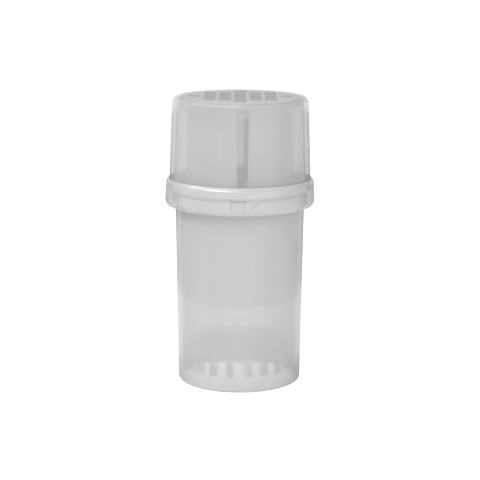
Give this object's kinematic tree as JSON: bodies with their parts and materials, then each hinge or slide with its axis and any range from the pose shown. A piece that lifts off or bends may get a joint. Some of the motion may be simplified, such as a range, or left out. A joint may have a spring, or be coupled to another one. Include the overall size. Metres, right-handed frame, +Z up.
{
  "type": "queen cage",
  "caption": "Round two-part queen marking cage: turning the collar raises a foam plunger towards the grid in the lift-off cap.",
  "frame": {"origin": "centre of the foot, on the surface that the cage stands on", "axes": "+Z up along the cage's axis; -Y is the front, where the index mark and one guide slot lie; the turn stop's lug points along +X"},
  "size_m": [0.046, 0.0459, 0.0881],
  "materials": {
    "body_plastic": "frosted translucent, natural polypropylene",
    "sleeve_plastic": "translucent, natural polypropylene",
    "plug_plastic": "translucent, natural polypropylene",
    "washer_rubber": "matt silicone",
    "collar_plastic": "satin translucent polypropylene",
    "tube_plastic": "translucent, natural polypropylene",
    "ring_plastic": "natural acetal",
    "carrier_plastic": "natural polyethylene",
    "pad_foam": "fine open-cell foam",
    "cap_plastic": "polished translucent polypropylene",
    "grid_plastic": "satin translucent polypropylene",
    "grid_ring_plastic": "translucent polypropylene"
  },
  "bodies": {
    "body": {"body_shell": "body_plastic", "drive_sleeve": "sleeve_plastic", "base_plug": "plug_plastic", "friction_washer": "washer_rubber"},
    "collar": {"turn_collar": "collar_plastic", "guide_tube": "tube_plastic", "retaining_ring": "ring_plastic"},
    "plunger": {"pad_carrier": "carrier_plastic", "foam_pad": "pad_foam"},
    "cap": {"cage_cap": "cap_plastic", "marking_grid": "grid_plastic", "grid_ring": "grid_ring_plastic"}
  },
  "joints": [
    {"name": "collar_turn", "type": "hinge", "parent": "body", "child": "collar", "pos_m": [0, 0, 0.045], "axis": [0, 0, 1], "range_deg": [0, 180]},
    {"name": "plunger_rise", "type": "slide", "parent": "collar", "child": "plunger", "axis": [0, 0, 1], "range_m": [0, 0.0221]},
    {"name": "cap_lift", "type": "slide", "parent": "collar", "child": "cap", "axis": [0, 0, 1], "range_m": [0, 0.06]}
  ],
  "couplings": [
    {"joint": "plunger_rise", "follows": "collar_turn", "m_per_rad": 0.0070028}
  ]
}
